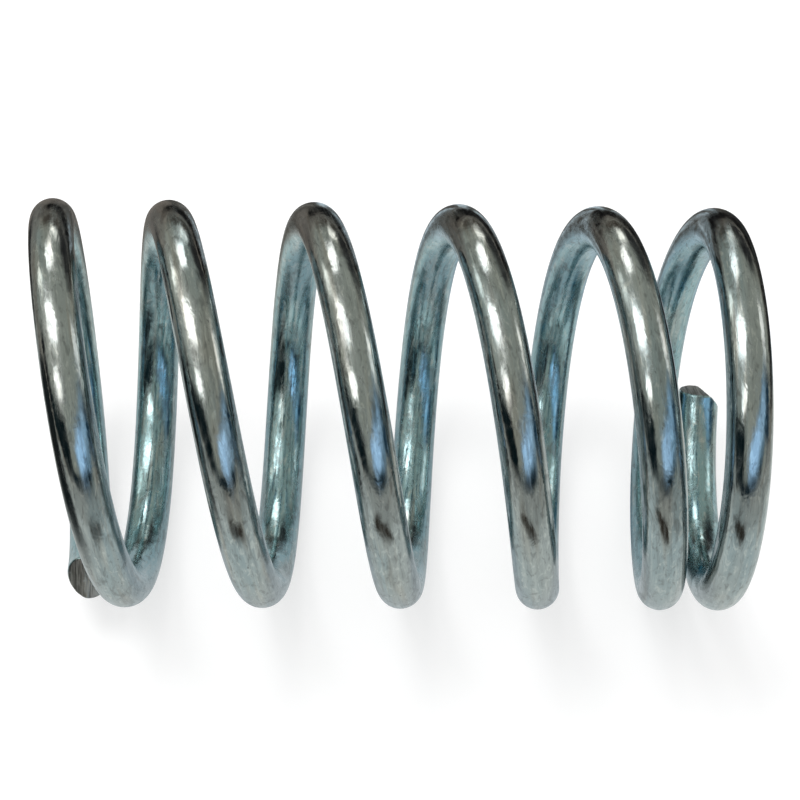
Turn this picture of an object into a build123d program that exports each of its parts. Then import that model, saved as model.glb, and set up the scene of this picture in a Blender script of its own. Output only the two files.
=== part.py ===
from build123d import *
from math import cos, radians, sin, tan
import os

# Drawbar spring: an open-coiled compression spring of round wire, wound right-handed, with
# closed, unground ends that were sheared off. It lies on its side with its axis along X.
# The origin is on the floor, under the axis, half way along the free length.

# Wire and coil
wire_diameter = 6.0
outer_diameter = 56.0
turns = 6.24
body_pitch = 19.4

# Closed end at the left: level for a while, then opening to the full pitch
left_level_turns = 0.22
end_gap = 0.35

# Closed end at the right: the last open turn is tighter, then the wire runs level, and the
# cut tip kicks away from the turn beside it
closing_pitch = 16.2
closing_turns = 1.75
closing_blend_turns = 0.3
right_level_turns = 0.86
level_blend_turns = 0.16
tip_turns = 0.42
tip_blend_turns = 0.2

# The coils lean over at the left end and stand square at the right one
left_lean_angle = 6.5
lean_heading = -54.0

# Sheared faces: a slanted cut across the wire, broken off more steeply over the rest
shear_angle = 9.0
break_angle = 42.0
break_width = 2.2
cutter_margin = 0.4

points_per_turn = 24
stretches_per_turn = 4

wire_radius = wire_diameter / 2
outer_radius = outer_diameter / 2
coil_radius = outer_radius - wire_radius
full_turns = int(turns)
start_angle = -(turns - full_turns) / 2 * 360
lean_slope = tan(radians(left_lean_angle))
touching_rise = wire_diameter + end_gap
shear_depth = wire_diameter * tan(radians(shear_angle))

# Turn at which the full pitch is reached, so that the first turn clears the cut tip
first_rise = touching_rise + coil_radius * lean_slope / turns
open_turn = left_level_turns + body_pitch * (1 - left_level_turns) ** 2 / (2 * first_rise)

# Rise left to the right tip, so that it clears the turn before it
level_turn = turns - right_level_turns
closing_rise = closing_pitch * (1 - right_level_turns + level_blend_turns / 2)
tip_rise = touching_rise - closing_rise
tip_pitch = tip_rise / (tip_turns - tip_blend_turns / 2)

# Pitch of the winding at marked turns, counted from the left cut end
pitch_marks = [
    (0, 0),
    (left_level_turns, 0),
    (open_turn, body_pitch),
    (turns - closing_turns - closing_blend_turns, body_pitch),
    (turns - closing_turns, closing_pitch),
    (level_turn, closing_pitch),
    (level_turn + level_blend_turns, 0),
    (turns - tip_turns, 0),
    (turns - tip_turns + tip_blend_turns, tip_pitch),
    (turns, tip_pitch),
]


def rise_to(turn):
    """Distance along the axis from the left cut end to a given turn."""
    rise = 0
    for (begin, pitch), (end, end_pitch) in zip(pitch_marks, pitch_marks[1:]):
        reach = min(max(turn, begin), end)
        reached_pitch = pitch + (end_pitch - pitch) * (reach - begin) / (end - begin)
        rise += (pitch + reached_pitch) / 2 * (reach - begin)
    return rise


def wire_centre(turn):
    """Centre of the wire at a given turn; angles go from the floor side to the back."""
    angle = radians(start_angle + 360 * turn)
    lean = lean_slope * (1 - turn / turns) * cos(angle - radians(lean_heading))
    x = rise_to(turn) + coil_radius * lean
    return Vector(x, coil_radius * sin(angle), outer_radius - coil_radius * cos(angle))


stretch_count = round(turns * stretches_per_turn)
point_count = round(turns * points_per_turn)
centres = [wire_centre(turns * step / point_count) for step in range(point_count + 1)]
first_x = min(centre.X for centre in centres)
last_x = max(centre.X for centre in centres)
middle = Vector((first_x + last_x) / 2, 0, 0)

with BuildPart() as coil_spring:
    wire_line = Spline(*[centre - middle for centre in centres], mode=Mode.PRIVATE)
    left_tip = Plane(wire_line @ 0, x_dir=(-1, 0, 0), z_dir=-(wire_line % 0))
    right_tip = Plane(wire_line @ 1, x_dir=(1, 0, 0), z_dir=wire_line % 1)
    with BuildSketch(left_tip):
        Circle(wire_radius)
    # The wire is swept in short stretches, so that a cut meets only those at its own tip
    marks = [step / stretch_count for step in range(stretch_count + 1)]
    sweep(path=[wire_line.trim(*span) for span in zip(marks, marks[1:])], clean=False)
    for tip in (left_tip, right_tip):
        # The cutters stay within the end gap, clear of the neighbouring turn
        cut = tip.offset(-shear_depth / 2)
        neighbour_side = Location((-wire_radius - end_gap / 2, 0, 0))
        with Locations(cut.rotated((shear_angle, 0, 0)).location * neighbour_side):
            Box(2 * wire_diameter, wire_diameter + 2 * cutter_margin, shear_depth + cutter_margin,
                mode=Mode.SUBTRACT, align=(Align.MIN, Align.CENTER, Align.MIN))
        break_line = Location((wire_radius - break_width, 0, 0), (0, break_angle, 0))
        with Locations(cut.location * break_line * Location((-shear_depth, 0, 0))):
            Box(2 * wire_diameter, 2 * wire_diameter, wire_radius,
                mode=Mode.SUBTRACT, align=(Align.MIN, Align.CENTER, Align.MIN))

coil_spring.part.label = "coil_spring"

os.makedirs("parts", exist_ok=True)
export_step(coil_spring.part, "parts/coil_spring.step")
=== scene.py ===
from math import cos, pi, radians, sin, tan

import bpy
import numpy as np
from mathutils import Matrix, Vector


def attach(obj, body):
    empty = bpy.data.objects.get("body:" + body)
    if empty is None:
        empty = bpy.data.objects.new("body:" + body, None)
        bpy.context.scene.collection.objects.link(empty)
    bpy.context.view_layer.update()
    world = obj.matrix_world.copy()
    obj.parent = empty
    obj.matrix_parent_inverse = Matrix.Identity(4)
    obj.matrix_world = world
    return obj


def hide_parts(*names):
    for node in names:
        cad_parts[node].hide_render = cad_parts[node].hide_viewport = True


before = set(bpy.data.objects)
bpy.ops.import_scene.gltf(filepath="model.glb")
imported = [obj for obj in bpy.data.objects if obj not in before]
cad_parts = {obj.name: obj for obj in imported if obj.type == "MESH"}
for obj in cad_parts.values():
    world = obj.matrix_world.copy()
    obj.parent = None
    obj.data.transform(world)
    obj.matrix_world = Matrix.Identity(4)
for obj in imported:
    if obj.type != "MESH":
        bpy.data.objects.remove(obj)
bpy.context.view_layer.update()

# Drawbar spring of bright zinc-plated wire, on a pale floor under soft studio light.
# Sizes are in millimetres, as in the part, and MM turns them into metres.
MM = 0.001

# The winding, as in the part
wire_radius = 3.0
outer_radius = 28.0
turns = 6.24
body_pitch = 19.4
left_level_turns = 0.22
end_gap = 0.35
closing_pitch = 16.2
closing_turns = 1.75
closing_blend_turns = 0.3
right_level_turns = 0.86
level_blend_turns = 0.16
tip_turns = 0.42
tip_blend_turns = 0.2
left_lean_angle = 6.5
lean_heading = -54.0

# The sheared ends, and the edge that the shear rolled over
shear_angle = 9.0
break_angle = 42.0
break_width = 2.2
edge_roll = 0.35
rim_shrink = 0.05

# Torn steps on the broken part: depth, how fast they follow each other, bend and vary across it
step_depth = 0.07
step_rate = 9.0
step_bend = 2.3
step_bend_rate = 3.1
step_cross_rate = 5.0

# Scrapes on the slanted cut: depth, and how fast they follow each other and bend
scrape_depth = 0.025
scrape_rate = 14.0
scrape_bend = 1.7
scrape_bend_rate = 2.7

coil_radius = outer_radius - wire_radius
start_angle = -(turns - int(turns)) * pi
lean_slope = tan(radians(left_lean_angle))
touching_rise = 2 * wire_radius + end_gap
girth = 2 * pi * wire_radius

# How finely the wire is drawn, with a few more rings of points close to each tip
rings_per_turn = 180
ring_count = int(turns * rings_per_turn)
line_points_per_ring = 4
near_tip_rings = (0.06, 0.14, 0.24, 0.36, 0.5, 0.7)
sides = 48
cap_rings = 12
tip_length = 8.0

# The flat layout: the wire's skin in strips beside each other, and the two ends above them
strips = 7
strip_gap = 0.8
ends_room = 4 * wire_radius
ends_drop = 1.5 * wire_radius
left_end_middle = 1.2 * wire_radius
right_end_middle = 4 * wire_radius

# How far apart in the grain the two sheared faces lie, so that they differ
ends_apart = 20.0


def pitch_marks():
    """Pitch of the winding at marked turns, counted from the left cut end."""
    first_rise = touching_rise + coil_radius * lean_slope / turns
    open_turn = left_level_turns + body_pitch * (1 - left_level_turns) ** 2 / (2 * first_rise)
    level_turn = turns - right_level_turns
    closing_rise = closing_pitch * (1 - right_level_turns + level_blend_turns / 2)
    tip_pitch = (touching_rise - closing_rise) / (tip_turns - tip_blend_turns / 2)
    return [
        (0, 0),
        (left_level_turns, 0),
        (open_turn, body_pitch),
        (turns - closing_turns - closing_blend_turns, body_pitch),
        (turns - closing_turns, closing_pitch),
        (level_turn, closing_pitch),
        (level_turn + level_blend_turns, 0),
        (turns - tip_turns, 0),
        (turns - tip_turns + tip_blend_turns, tip_pitch),
        (turns, tip_pitch),
    ]


def rise_to(turn):
    """Distance along the axis from the left cut end to each turn."""
    marks = pitch_marks()
    rise = np.zeros_like(turn)
    for (begin, pitch), (end, end_pitch) in zip(marks, marks[1:]):
        reach = np.clip(turn, begin, end)
        reached_pitch = pitch + (end_pitch - pitch) * (reach - begin) / (end - begin)
        rise += (pitch + reached_pitch) / 2 * (reach - begin)
    return rise


def unit(vectors):
    """The same directions, each of length 1."""
    return vectors / np.linalg.norm(vectors, axis=-1, keepdims=True)


class WireLine:
    """The centre line of the wire, by length from the left cut end."""

    def __init__(self):
        turn = np.linspace(0, turns, ring_count * line_points_per_ring + 1)
        angle = start_angle + 2 * pi * turn
        lean = lean_slope * (1 - turn / turns) * np.cos(angle - radians(lean_heading))
        x = rise_to(turn) + coil_radius * lean
        x -= (x.min() + x.max()) / 2
        y = coil_radius * np.sin(angle)
        z = outer_radius - coil_radius * np.cos(angle)
        self.points = np.stack([x, y, z], -1)
        steps = np.linalg.norm(np.diff(self.points, axis=0), axis=1)
        self.lengths = np.r_[0, np.cumsum(steps)]
        self.total = self.lengths[-1]
        self.directions = unit(np.gradient(self.points, self.lengths, axis=0, edge_order=2))

    def at(self, length, rows):
        """Rows that belong to the line's points, read at any length."""
        return np.stack([np.interp(length, self.lengths, rows[:, axis]) for axis in range(3)], -1)

    def frame(self, length):
        """Centre, outward, sideways and forward directions at each length."""
        centre = self.at(length, self.points)
        forward = unit(self.at(length, self.directions))
        outward = (centre - (0, 0, outer_radius)) * (0, 1, 1)
        outward = unit(outward - (outward * forward).sum(-1, keepdims=True) * forward)
        return centre, outward, np.cross(forward, outward), forward

    def places_of(self, turn):
        """Place along the coil's axis at each turn."""
        return self.at(turn / turns * self.total, self.points)[:, 0]


def cut_height(x, y):
    """Height of a sheared end over the plane square to its tip: a slanted cut, then a break."""
    shear_depth = wire_radius * tan(radians(shear_angle))
    cut = y * tan(radians(shear_angle)) - shear_depth
    broken = -shear_depth - (x - wire_radius + break_width) * tan(radians(break_angle))
    steps = np.sin(step_rate * y + step_bend * np.sin(step_bend_rate * y))
    scrapes = np.sin(scrape_rate * x + scrape_bend * np.sin(scrape_bend_rate * y))
    broken -= step_depth * (1 + steps * np.cos(step_cross_rate * x))
    cut -= scrape_depth * (1 + scrapes)
    return np.minimum(cut, broken)


def sheared_tip(line, side, circle):
    """Centre and axes of the plane square to a tip, and the wire's rim in that plane.

    The side is -1 for the left tip and 1 for the right one.
    """
    centre, outward, sideways, forward = line.frame(np.array(line.total * (side > 0)))
    z_axis = forward * side
    x_axis = unit(np.array([side, 0, 0]) - side * z_axis[0] * z_axis)
    rim = circle[:, :1] * outward + circle[:, 1:] * sideways
    y_axis = np.cross(z_axis, x_axis)
    return centre, x_axis, y_axis, z_axis, rim @ x_axis, rim @ y_axis


def ring_lengths(line):
    """Where the rings of points stand along the wire."""
    near_tip = np.array(near_tip_rings)
    even = line.total * np.arange(1, ring_count) / ring_count
    return np.r_[0, near_tip, even, line.total - near_tip[::-1], line.total]


def skin_points(line, tips, circle):
    """Rings of points round the wire, pushed back to meet the cuts, and where each lies."""
    ring = np.repeat(ring_lengths(line)[:, None], sides, axis=1)
    for side, (_, _, _, _, rim_x, rim_y) in tips.items():
        from_tip = ring if side < 0 else line.total - ring
        pushed = -cut_height(rim_x, rim_y) * np.clip(1 - from_tip / tip_length, 0, 1)
        ring = ring - side * pushed

    centre, outward, sideways, _ = line.frame(ring)
    from_edge = np.minimum(ring - ring[0], ring[-1] - ring)
    roll = np.clip(1 - from_edge / edge_roll, 0, 1) ** 2
    radius = 1 - rim_shrink * roll[..., None]
    skin = centre + radius * (circle[:, :1] * outward + circle[:, 1:] * sideways)
    place = np.concatenate([np.broadcast_to(circle, skin.shape[:2] + (2,)), ring[..., None]], -1)
    return skin, place


def skin_faces(rows):
    """Faces between neighbouring rings of points."""
    index = np.arange(rows * sides).reshape(rows, sides)
    here, above = index[:-1], index[1:]
    quads = np.stack([here, np.roll(here, -1, 1), np.roll(above, -1, 1), above], -1)
    return quads.reshape(-1, 4).tolist()


def sheared_points(side, tip):
    """Points of a sheared face, in rings from its rim to its middle, and where each lies."""
    centre, x_axis, y_axis, z_axis, rim_x, rim_y = tip
    share = (np.arange(cap_rings, 0, -1) / cap_rings)[:, None] * (1 - rim_shrink)
    x = np.r_[(share * rim_x).ravel(), 0]
    y = np.r_[(share * rim_y).ravel(), 0]
    height = cut_height(x, y)
    points = centre + x[:, None] * x_axis + y[:, None] * y_axis + height[:, None] * z_axis
    return points, np.stack([x, y, height + (side > 0) * ends_apart], -1)


def sheared_faces(side, first):
    """Faces between the rings of a sheared face, given the number of its first point."""
    faces = []
    middle = first + cap_rings * sides
    for ring in range(cap_rings):
        for step in range(sides):
            a = first + ring * sides + step
            b = first + ring * sides + (step + 1) % sides
            face = [a, b, b + sides, a + sides] if ring < cap_rings - 1 else [a, b, middle]
            faces.append(face if side > 0 else face[::-1])
    return faces


def wire_mesh(line):
    """Points and faces of the wire, where each point lies, and which are on a sheared face."""
    around = 2 * pi * np.arange(sides) / sides
    circle = np.stack([np.cos(around), np.sin(around)], -1) * wire_radius
    tips = {side: sheared_tip(line, side, circle) for side in (-1, 1)}
    skin, place = skin_points(line, tips, circle)
    points, places = skin.reshape(-1, 3), place.reshape(-1, 3)
    faces = skin_faces(len(skin))
    skin_count = len(points)
    for side, tip in tips.items():
        faces += sheared_faces(side, len(points))
        end_points, end_places = sheared_points(side, tip)
        points = np.concatenate([points, end_points])
        places = np.concatenate([places, end_places])
    return points, faces, places, np.arange(len(points)) >= skin_count


def skin_layout(total):
    """Where each corner of the skin goes on the flat sheet, in strips of the wire."""
    rows = ring_count + 2 * len(near_tip_rings)
    row, side = np.divmod(np.arange(rows * sides), sides)
    rows_per_strip = -(-rows // strips)
    strip, step = np.divmod(row, rows_per_strip)
    corners = np.stack([np.stack([step + up, side + along], -1)
                        for up, along in ((0, 0), (0, 1), (1, 1), (1, 0))], 1).astype(float)
    corners[..., 0] *= total / rows
    corners[..., 1] *= girth / sides
    corners[..., 1] += strip[:, None] * (girth + strip_gap)
    return corners.reshape(-1, 2)


def ends_layout(faces, places, sheet):
    """Where each corner of the sheared faces goes on the flat sheet."""
    corners = np.array([point for face in faces for point in face])
    on_left = places[corners, 2] < ends_apart / 2
    middle = np.where(on_left, left_end_middle, right_end_middle)
    ends = places[corners, :2] + np.stack([middle, 0 * middle], -1)
    ends[:, 1] += sheet - ends_drop
    return ends


def lay_flat(mesh, total, faces, places):
    """The piece's own flat layout, named OFBake."""
    sheet = strips * (girth + strip_gap) + ends_room
    skin = skin_layout(total)
    ends = ends_layout(faces[len(skin) // 4:], places, sheet)
    layout = mesh.uv_layers.new(name="OFBake")
    corners = np.concatenate([skin / sheet, ends / sheet])
    layout.data.foreach_set("uv", corners.astype(np.float32).ravel())


def coil_piece(line, material):
    """The wound wire with its sheared ends."""
    points, faces, places, cut = wire_mesh(line)
    mesh = bpy.data.meshes.new("coil_wire")
    mesh.from_pydata((points * MM).tolist(), [], faces)
    wire_place = mesh.attributes.new("wire_place", "FLOAT_VECTOR", "POINT")
    wire_place.data.foreach_set("vector", places.astype(np.float32).ravel())
    sheared = mesh.attributes.new("sheared", "FLOAT", "POINT")
    sheared.data.foreach_set("value", cut.astype(np.float32))
    lay_flat(mesh, line.total, faces, places)
    mesh.polygons.foreach_set("use_smooth", [True] * len(faces))
    mesh.materials.append(material)
    mesh.update()
    piece = bpy.data.objects.new("coil_wire", mesh)
    bpy.context.collection.objects.link(piece)
    return piece


def add_node(tree, kind, **settings):
    """A new node, with some of its settings made."""
    node = tree.nodes.new(kind)
    for name, value in settings.items():
        setattr(node, name, value)
    return node


def plug(tree, socket, value):
    """Link a socket to another one's value, or set it to a number, vector or colour."""
    if isinstance(value, bpy.types.NodeSocket):
        tree.links.new(value, socket)
    else:
        socket.default_value = value


def math_node(tree, operation, *values):
    """The result of some arithmetic on two or three values."""
    node = add_node(tree, "ShaderNodeMath", operation=operation)
    for socket, value in zip(node.inputs, values):
        plug(tree, socket, value)
    return node.outputs[0]


def spread(tree, value, low, high, to_low=0.0, to_high=1.0):
    """Stretch what lies from low to high over a new range, smoothly at both ends."""
    node = add_node(tree, "ShaderNodeMapRange", interpolation_type="SMOOTHSTEP")
    for socket, setting in zip(node.inputs, (value, low, high, to_low, to_high)):
        plug(tree, socket, setting)
    return node.outputs[0]


def mix_colour(tree, share, first, second):
    """The first colour where the share is 0 and the second where it is 1."""
    node = add_node(tree, "ShaderNodeMix", data_type="RGBA")
    plug(tree, node.inputs[0], share)
    plug(tree, node.inputs[6], first)
    plug(tree, node.inputs[7], second)
    return node.outputs[2]


def mix_value(tree, share, first, second):
    """The first value where the share is 0 and the second where it is 1."""
    node = add_node(tree, "ShaderNodeMix", data_type="FLOAT")
    plug(tree, node.inputs[0], share)
    plug(tree, node.inputs[2], first)
    plug(tree, node.inputs[3], second)
    return node.outputs[0]


def new_material(name):
    """A material whose nodes are still to be made, and its tree."""
    material = bpy.data.materials.new(name)
    material.use_nodes = True
    material.node_tree.nodes.clear()
    return material, material.node_tree


def new_group(name, inputs, outputs):
    """An empty node group with named sockets, and its input and output nodes."""
    group = bpy.data.node_groups.new(name, "ShaderNodeTree")
    for label, kind, value in inputs:
        socket = group.interface.new_socket(label, in_out="INPUT", socket_type="NodeSocket" + kind)
        if value is not None:
            socket.default_value = value
    for label, kind in outputs:
        group.interface.new_socket(label, in_out="OUTPUT", socket_type="NodeSocket" + kind)
    return group, add_node(group, "NodeGroupInput").outputs, add_node(group, "NodeGroupOutput").inputs


# A patch is half a step of the noise wide, and has two levels of finer detail in it
noise_step = 0.5
noise_detail = 2.0


def drawn_grain():
    """Patches of a given width round the wire and length along it, from 0 to 1."""
    group, given, out = new_group(
        "drawn_grain",
        [("Place", "Vector", None), ("Width", "Float", 0.4), ("Length", "Float", 4.0),
         ("Offset", "Float", 0.0), ("Roughness", "Float", 0.5), ("Wander", "Float", 0.0)],
        [("Value", "Float")])
    apart = add_node(group, "ShaderNodeSeparateXYZ")
    plug(group, apart.inputs[0], given["Place"])
    across = math_node(group, "DIVIDE", noise_step, given["Width"])
    along = math_node(group, "DIVIDE", noise_step, given["Length"])
    scaled = add_node(group, "ShaderNodeCombineXYZ")
    for axis, rate in enumerate((across, across, along)):
        value = math_node(group, "MULTIPLY", apart.outputs[axis], rate)
        plug(group, scaled.inputs[axis], math_node(group, "ADD", value, given["Offset"]))
    noise = add_node(group, "ShaderNodeTexNoise")
    plug(group, noise.inputs["Vector"], scaled.outputs[0])
    plug(group, noise.inputs["Scale"], 1.0)
    plug(group, noise.inputs["Detail"], noise_detail)
    plug(group, noise.inputs["Roughness"], given["Roughness"])
    plug(group, noise.inputs["Distortion"], given["Wander"])
    plug(group, out["Value"], noise.outputs[0])
    return group


def grain(tree, group, place, width, length, offset, roughness, wander):
    """One layer of patches, from the drawn_grain group."""
    node = add_node(tree, "ShaderNodeGroup", node_tree=group)
    for label, value in (("Place", place), ("Width", width), ("Length", length),
                         ("Offset", offset), ("Roughness", roughness), ("Wander", wander)):
        plug(tree, node.inputs[label], value)
    return node.outputs["Value"]


# Colours of the plating, a painted teal reflection, and of the steel where it is cut
zinc_grey = (0.375, 0.41, 0.41, 1)
zinc_light = (0.60, 0.63, 0.61, 1)
zinc_dark = (0.15, 0.16, 0.16, 1)
zinc_blue = (0.33, 0.40, 0.42, 1)
# Painted reflection: the teal that the inner side of the wire takes
reflected_teal = (0.32, 0.475, 0.51, 1)
zinc_brown = (0.38, 0.355, 0.31, 1)
bare_steel = (0.39, 0.385, 0.365, 1)
burnt_steel = (0.11, 0.105, 0.10, 1)

# Layers of patches: width round the wire and length along it in mm, and the offset, roughness
# and wander of the noise. The shear lines run across a cut.
layers = {
    "hair": (0.16, 4.0, 3.0, 0.5, 0.0),
    "streak": (0.34, 5.0, 17.0, 0.6, 0.3),
    "band": (1.1, 9.0, 31.0, 0.55, 0.4),
    "mottle": (0.8, 1.6, 47.0, 0.65, 0.8),
    "cloud": (3.0, 16.0, 59.0, 0.5, 0.0),
    "dent": (2.2, 4.5, 53.0, 0.4, 0.0),
    "fleck": (0.36, 0.9, 67.0, 0.7, 0.5),
    "speck": (0.22, 0.4, 71.0, 0.5, 0.0),
    "torn": (0.7, 0.9, 97.0, 0.7, 0.0),
}
shear_lines = (0.14, 2.5, 83.0, 0.6, 0.0)

# Where the bluish bloom and, in mm out from the wire's centre, the painted teal reflection on
# the coil's inside begin and are full
bloom_begins, bloom_full = 0.42, 0.6
inside_begins, inside_full = 1.0, -2.0

# Tints over both: layer, where the tint begins and is full, its share there, and its colour
tints = [
    ("band", 0.5, 0.68, 0.5, zinc_brown),
    ("streak", 0.52, 0.7, 0.3, zinc_light),
    ("streak", 0.46, 0.3, 0.3, zinc_dark),
    ("fleck", 0.54, 0.7, 0.5, zinc_light),
    ("fleck", 0.46, 0.3, 0.5, zinc_dark),
    ("mottle", 0.56, 0.74, 0.5, zinc_dark),
    ("speck", 0.7, 0.78, 0.8, zinc_dark),
]

# Sheared faces: where the bare lines and the torn patches begin and are full
bare_begins, bare_full = 0.35, 0.65
torn_begins, torn_full, torn_share = 0.55, 0.7, 0.6

# Roughness of plain and mottled zinc, and what hair lines, the coil's inside and the cuts add
mottle_begins, mottle_full = 0.4, 0.62
plain_rough, mottled_rough = 0.08, 0.2
hair_begins, hair_full, hair_rough = 0.35, 0.7, 0.08
inside_rough = 0.04
sheared_rough = 0.35

# Height of the relief in mm, for the dents, the layers over them and the lines on a cut
dent_relief = 0.16
layer_relief = [("mottle", 0.04), ("fleck", 0.004), ("band", 0.06), ("streak", 0.005), ("hair", 0.0015)]
cut_relief = 0.10


def zinc_colour(tree, grains, inside):
    """Grey zinc with a bluish bloom, a painted teal reflection inside the coil, and its tints."""
    bloom = spread(tree, grains["cloud"], bloom_begins, bloom_full)
    colour = mix_colour(tree, bloom, zinc_grey, zinc_blue)
    # Painted reflection: the inner side of the wire turns teal
    colour = mix_colour(tree, inside, colour, reflected_teal)
    for layer, begins, full, share, tint in tints:
        tinted = spread(tree, grains[layer], begins, full, 0, share)
        colour = mix_colour(tree, tinted, colour, tint)
    return colour


def sheared_colour(tree, grains, scrapes):
    """Bare steel with burnt lines, and zinc on the torn patches."""
    clean = spread(tree, scrapes, bare_begins, bare_full)
    bare = mix_colour(tree, clean, burnt_steel, bare_steel)
    torn = spread(tree, grains["torn"], torn_begins, torn_full, 0, torn_share)
    return mix_colour(tree, torn, bare, zinc_grey)


def zinc_roughness(tree, grains, inside, sheared):
    """Smooth zinc, duller in patches, along the hair lines, inside the coil and on the cuts."""
    rough = spread(tree, grains["mottle"], mottle_begins, mottle_full, plain_rough, mottled_rough)
    hair = spread(tree, grains["hair"], hair_begins, hair_full, 0, hair_rough)
    rough = math_node(tree, "ADD", rough, hair)
    rough = math_node(tree, "MULTIPLY_ADD", inside, inside_rough, rough)
    return math_node(tree, "MULTIPLY_ADD", sheared, sheared_rough, rough)


def zinc_relief(tree, grains, scrapes, sheared):
    """The surface's fine unevenness: dents, patches and drawn lines, or lines across the cuts."""
    height = math_node(tree, "MULTIPLY", grains["dent"], dent_relief)
    for layer, rise in layer_relief:
        height = math_node(tree, "MULTIPLY_ADD", grains[layer], rise, height)
    scraped = math_node(tree, "MULTIPLY", scrapes, cut_relief)
    bump = add_node(tree, "ShaderNodeBump")
    plug(tree, bump.inputs["Height"], mix_value(tree, sheared, height, scraped))
    plug(tree, bump.inputs["Distance"], MM)
    plug(tree, bump.inputs["Strength"], 1.0)
    return bump.outputs[0]


def zinc_material():
    """Bright zinc with a bluish bloom over drawn wire, and bare steel on the sheared ends."""
    material, tree = new_material("zinc_plated_wire")
    place = add_node(tree, "ShaderNodeAttribute", attribute_name="wire_place").outputs["Vector"]
    sheared = add_node(tree, "ShaderNodeAttribute", attribute_name="sheared").outputs["Fac"]
    apart = add_node(tree, "ShaderNodeSeparateXYZ")
    plug(tree, apart.inputs[0], place)
    # The inner side of the wire, which gets a painted teal reflection and duller zinc
    inside = spread(tree, apart.outputs[0], inside_begins, inside_full)

    group = drawn_grain()
    grains = {name: grain(tree, group, place, *layer) for name, layer in layers.items()}
    across_cut = add_node(tree, "ShaderNodeCombineXYZ")
    plug(tree, across_cut.inputs[0], apart.outputs[0])
    plug(tree, across_cut.inputs[2], apart.outputs[1])
    scrapes = grain(tree, group, across_cut.outputs[0], *shear_lines)

    zinc = zinc_colour(tree, grains, inside)
    steel = sheared_colour(tree, grains, scrapes)
    shader = add_node(tree, "ShaderNodeBsdfPrincipled")
    plug(tree, shader.inputs["Base Color"], mix_colour(tree, sheared, zinc, steel))
    plug(tree, shader.inputs["Metallic"], 1.0)
    plug(tree, shader.inputs["Roughness"], zinc_roughness(tree, grains, inside, sheared))
    plug(tree, shader.inputs["Normal"], zinc_relief(tree, grains, scrapes, sheared))
    plug(tree, add_node(tree, "ShaderNodeOutputMaterial").inputs[0], shader.outputs[0])
    return material


# How strongly the world lights, and the floor: half its size in metres, its paint, and the glow
# that it is seen with
world_level = 0.8
floor_half_size = 3.0
floor_grey = (0.45, 0.45, 0.45, 1)
floor_glow = 0.62
white = (1, 1, 1, 1)


def background_share(tree):
    """1 for the rays that see the background: the camera's and those of metal and glass."""
    path = add_node(tree, "ShaderNodeLightPath")
    seen = math_node(tree, "MAXIMUM", path.outputs["Is Camera Ray"], path.outputs["Is Glossy Ray"])
    return math_node(tree, "MAXIMUM", seen, path.outputs["Is Transmission Ray"])


def set_world():
    """A white background, which lights the scene a little less than it shows."""
    world = bpy.data.worlds.new("studio")
    bpy.context.scene.world = world
    world.use_nodes = True
    tree = world.node_tree
    background = tree.nodes["Background"]
    plug(tree, background.inputs["Color"], white)
    share = background_share(tree)
    strength = math_node(tree, "MULTIPLY_ADD", share, 1 - world_level, world_level)
    plug(tree, background.inputs["Strength"], strength)


def floor_material():
    """Pale paint with a glow that lifts it toward white, and leaves a soft shadow on it."""
    material, tree = new_material("pale_floor")
    paint = add_node(tree, "ShaderNodeBsdfDiffuse")
    plug(tree, paint.inputs["Color"], floor_grey)
    glow = add_node(tree, "ShaderNodeEmission")
    plug(tree, glow.inputs["Color"], white)
    strength = math_node(tree, "MULTIPLY", background_share(tree), floor_glow)
    plug(tree, glow.inputs["Strength"], strength)
    both = add_node(tree, "ShaderNodeAddShader")
    plug(tree, both.inputs[0], paint.outputs[0])
    plug(tree, both.inputs[1], glow.outputs[0])
    plug(tree, add_node(tree, "ShaderNodeOutputMaterial").inputs[0], both.outputs[0])
    return material


def floor_piece():
    """The floor that the spring lies on."""
    size = floor_half_size
    mesh = bpy.data.meshes.new("floor")
    mesh.from_pydata([(-size, -size, 0), (size, -size, 0), (size, size, 0), (-size, size, 0)],
                     [], [(0, 1, 2, 3)])
    mesh.materials.append(floor_material())
    floor = bpy.data.objects.new("floor", mesh)
    bpy.context.collection.objects.link(floor)


# What stands round the spring, as the bright wire shows it, on a dome with its radius in metres
# and its step in degrees. Azimuth 0 is in front and 90 to the right. Each panel has a centre,
# half width, half height and tilt in degrees, a softness and a colour.
tent_radius = 0.9
tent_step = 3
tent_grey = (0.45, 0.465, 0.41)
panels = [
    ("back_low", 180, 0, 28, 12, 0, 0.7, (0.10, 0.085, 0.07)),
    ("right_back", 150, 10, 17, 18, 0, 0.8, (0.04, 0.04, 0.04)),
    ("left_pane", -121, 22, 6, 10, 0, 0.6, (2.6, 2.6, 2.4)),
    ("window_halo", -104, 55, 19, 30, 0, 1.3, (0.85, 0.84, 0.76)),
    ("left_window", -103, 58, 10.5, 20, 0, 0.35, (3.9, 3.8, 3.65)),
    ("back_lamp", -163, 37, 12, 9, 0, 0.5, (3.4, 3.3, 3.15)),
    ("small_lamp", 178, 17, 8, 4.5, 0, 0.7, (2.5, 2.4, 2.2)),
    ("front_lamp", -55, 46, 14, 6, 50, 0.5, (3.7, 3.6, 3.45)),
    ("right_lamp", 108, 25, 9, 8, 0, 0.8, (1.8, 1.75, 1.65)),
    ("blue_wall", 46, 28, 42, 16, 0, 0.6, (0.22, 0.36, 0.48)),
    ("blue_pane", 64, 29, 13, 8, 0, 0.8, (0.50, 0.76, 1.02)),
    ("blue_window", 24, 30, 22, 10, 6, 0.7, (0.72, 1.10, 1.55)),
    ("front_sheet", 12, 1, 60, 6, 0, 0.5, (0.50, 0.51, 0.48)),
    ("dark_corner", 84, 11, 12, 9, 20, 0.6, (0.02, 0.06, 0.10)),
    ("dark_band", 10, 13, 50, 5, 4, 0.6, (0.01, 0.025, 0.035)),
    ("left_low", -86, 4, 18, 10, 0, 0.5, (0.01, 0.012, 0.015)),
    ("dark_side", -53, 13, 26, 16, 35, 0.45, (0.006, 0.016, 0.02)),
]

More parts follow.
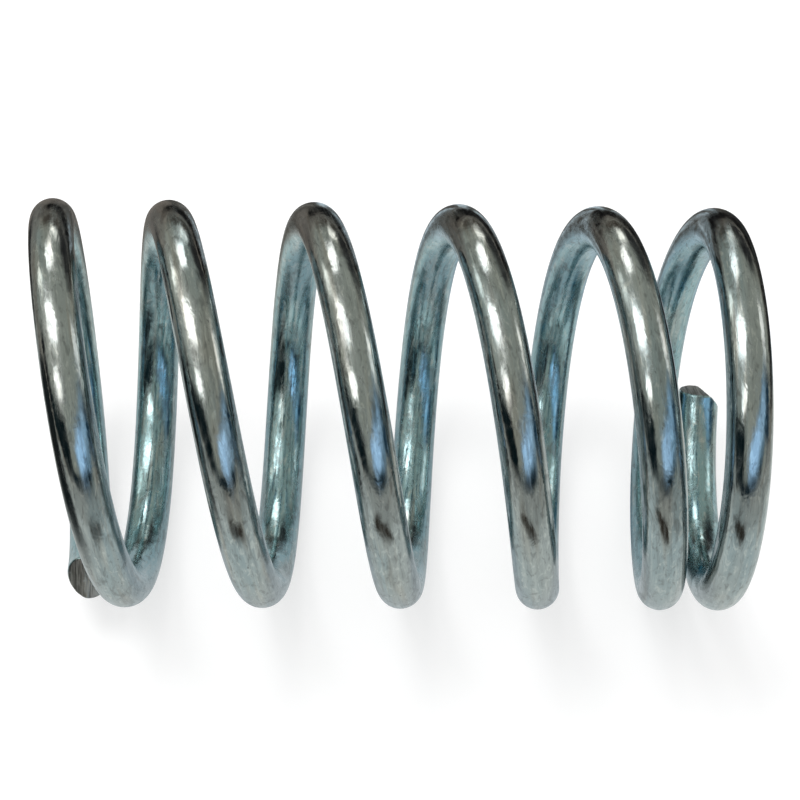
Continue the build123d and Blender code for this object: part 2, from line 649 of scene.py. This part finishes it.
# The floor as the wire shows it, in soft patches: centre and half sizes in mm, softness, colour
cloth_grey = (0.32, 0.30, 0.26)
patches = [
    ("front_sheet", 0, -420, 420, 400, 0.3, (0.52, 0.54, 0.51)),
    ("pale_sheet", 0, -20, 120, 110, 0.6, (0.78, 0.82, 0.79)),
    ("back_sheet", 75, 75, 95, 45, 0.3, (0.58, 0.68, 0.74)),
    ("back_shade", -70, 85, 52, 42, 0.4, (0.20, 0.18, 0.16)),
    ("left_dark", -290, -25, 225, 59, 0.2, (0.015, 0.02, 0.022)),
    ("left_back_dark", -98, 58, 20, 27, 0.5, (0.03, 0.03, 0.03)),
    ("right_dark", 250, 120, 192, 98, 0.1, (0.03, 0.03, 0.03)),
    ("back_brown", 120, 330, 300, 210, 0.1, (0.18, 0.16, 0.14)),
    ("back_edge", 150, 225, 250, 105, 0.2, (0.012, 0.012, 0.012)),
    ("coil_shade", 0, 0, 52, 26, 0.7, (0.50, 0.55, 0.57)),
    ("end_shade", 41, 2, 7, 9, 0.8, (0.03, 0.12, 0.17)),
]

# Painted shadow: a small dark spot in front of each turn, which the wire shows where it is low
# and turns upward
spot_angle = radians(-30)
spot_y = -148
spot_size = (12, 48)
spot_softness = 0.8
shadow_spot_colour = (0.06, 0.05, 0.04)

# Painted shade: a dark strip behind each turn, a little to the right of it, which the wire shows
# along its top
strip_angle = radians(140)
strip_shift = 15
strip_y = 80
strip_size = (6, 36)
strip_softness = 0.8
shade_strip_colour = (0.09, 0.085, 0.075)

# The cloth that carries the patches: half its size and its lift in metres, its lines each way,
# and how closely they crowd together in the middle
cloth_half_size = 0.9
cloth_lift = 0.0002
cloth_lines = 161
cloth_crowding = 4


def way_to(azimuth, elevation):
    """The direction of a place round the spring, from its angles in degrees."""
    az, el = np.radians(azimuth), np.radians(elevation)
    return np.stack([np.sin(az) * np.cos(el), -np.cos(az) * np.cos(el), np.sin(el)], -1)


def soft_box(x, y, softness):
    """1 inside a rounded square that reaches from -1 to 1 and 0 outside it."""
    reach = (x ** 4 + y ** 4) ** 0.25
    fade = np.clip((1 + softness / 2 - reach) / softness, 0, 1)
    return (fade * fade * (3 - 2 * fade))[:, None]


def tent_colours(ways):
    """The light that comes from each direction."""
    colours = np.broadcast_to(np.array(tent_grey, float), ways.shape).copy()
    for _, azimuth, elevation, half_width, half_height, tilt, softness, colour in panels:
        centre, right = way_to(azimuth, elevation), way_to(azimuth + 90, 0)
        up = np.cross(centre, right)
        # A direction behind the panel counts as square to it, which is outside every panel
        ahead = np.maximum(ways @ centre, 1e-6)
        across, above = np.degrees(np.arctan2([ways @ right, ways @ up], ahead))
        level, steep = cos(radians(tilt)), sin(radians(tilt))
        x = (level * across + steep * above) / half_width
        y = (level * above - steep * across) / half_height
        colours += soft_box(x, y, softness) * (np.array(colour) - colours)
    return colours


def front_shadow_spots(line):
    """The painted shadow spots in front of the turns, as patches of the cloth."""
    turn = np.arange(int(turns) + 1) + (spot_angle - start_angle) / (2 * pi)
    return [("front_spot", x, spot_y, *spot_size, spot_softness, shadow_spot_colour)
            for x in line.places_of(turn)]


def back_shade_strips(line):
    """The painted shade strips behind the turns, as patches of the cloth."""
    turn = np.arange(int(turns)) + (strip_angle - start_angle) / (2 * pi)
    return [("back_strip", x, strip_y, *strip_size, strip_softness, shade_strip_colour)
            for x in line.places_of(turn) + strip_shift]


def cloth_colours(points, line):
    """The light that comes from each point of the cloth."""
    colours = np.broadcast_to(np.array(cloth_grey, float), points.shape).copy()
    for _, x, y, half_x, half_y, softness, colour in patches + front_shadow_spots(line) + back_shade_strips(line):
        across = (points[:, 0] / MM - x) / half_x
        along = (points[:, 1] / MM - y) / half_y
        colours += soft_box(across, along, softness) * (np.array(colour) - colours)
    return colours


def glow_material(name):
    """Light of the colours held in a mesh."""
    material, tree = new_material(name)
    held = add_node(tree, "ShaderNodeAttribute", attribute_name="glow")
    glow = add_node(tree, "ShaderNodeEmission")
    plug(tree, glow.inputs["Color"], held.outputs["Color"])
    plug(tree, add_node(tree, "ShaderNodeOutputMaterial").inputs[0], glow.outputs[0])
    return material


def glow_mesh(name, points, colours, columns, closed=True):
    """Rows of points, each with its own light, which only the metal shows."""
    faces = []
    for row in range(len(points) // columns - 1):
        for column in range(columns if closed else columns - 1):
            a = row * columns + column
            b = row * columns + (column + 1) % columns
            faces.append((a, b, b + columns, a + columns))
    mesh = bpy.data.meshes.new(name)
    mesh.from_pydata(points.tolist(), [], faces)
    held = mesh.color_attributes.new("glow", "FLOAT_COLOR", "POINT")
    held.data.foreach_set("color", np.c_[colours, np.ones(len(colours))].astype(np.float32).ravel())
    mesh.materials.append(glow_material(name))
    piece = bpy.data.objects.new(name, mesh)
    bpy.context.collection.objects.link(piece)
    piece.visible_camera = False
    piece.visible_diffuse = False
    piece.visible_transmission = False
    piece.visible_volume_scatter = False
    piece.visible_shadow = False


def studio_tent():
    """A dome round the spring with its windows, lamps and dark sides."""
    azimuths = np.arange(-180, 180, tent_step)
    az, el = np.meshgrid(azimuths, np.arange(0, 91, tent_step))
    ways = way_to(az.ravel(), el.ravel())
    glow_mesh("studio_tent", ways * tent_radius, tent_colours(ways), len(azimuths))


def cloth_under_spring(line):
    """A cloth just over the floor, with the soft patches that the wire shows."""
    step = np.linspace(-1, 1, cloth_lines)
    marks = cloth_half_size * np.sinh(cloth_crowding * step) / np.sinh(cloth_crowding)
    x, y = np.meshgrid(marks, marks)
    points = np.stack([x.ravel(), y.ravel(), np.full(x.size, cloth_lift)], -1)
    glow_mesh("cloth_under_spring", points, cloth_colours(points, line), len(marks), closed=False)


# Weak lamps: azimuth and elevation in degrees, distance, width and height in metres, and power
# in watts
lamps = [
    ("left_window", -122, 64, 0.9, 0.5, 0.5, 4),
    ("back_lamp", -173, 30, 0.9, 0.3, 0.2, 1),
]

# The camera: place, lens and sensor in mm, turn in degrees, and nearest distance in metres
camera_place = (-15.32, -179.57, 276.98)
camera_turn = (35.969, -2.774, -1.287)
camera_lens = 99.8
camera_sensor = 36
camera_near = 0.01


def soft_lamp(name, azimuth, elevation, distance, width, height, power):
    """A soft lamp that faces the spring and doesn't show in the metal."""
    lamp = bpy.data.lights.new(name, "AREA")
    lamp.shape = "RECTANGLE"
    lamp.size = width
    lamp.size_y = height
    lamp.energy = power
    piece = bpy.data.objects.new(name, lamp)
    bpy.context.collection.objects.link(piece)
    way = Vector(way_to(azimuth, elevation))
    piece.location = way * distance
    piece.rotation_euler = way.to_track_quat("Z", "Y").to_euler()
    piece.visible_glossy = False


def place_camera():
    """The camera, where the photograph was taken from."""
    camera = bpy.data.cameras.new("camera")
    camera.sensor_width = camera_sensor
    camera.lens = camera_lens
    camera.clip_start = camera_near
    piece = bpy.data.objects.new("camera", camera)
    piece.location = Vector(camera_place) * MM
    piece.rotation_euler = [radians(angle) for angle in camera_turn]
    bpy.context.collection.objects.link(piece)
    bpy.context.scene.camera = piece


wire_line = WireLine()
coil = coil_piece(wire_line, zinc_material())
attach(coil, "root")
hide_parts("coil_spring")

set_world()
floor_piece()
place_camera()
studio_tent()
cloth_under_spring(wire_line)
for lamp in lamps:
    soft_lamp(*lamp)

bpy.context.scene.view_settings.view_transform = "Standard"
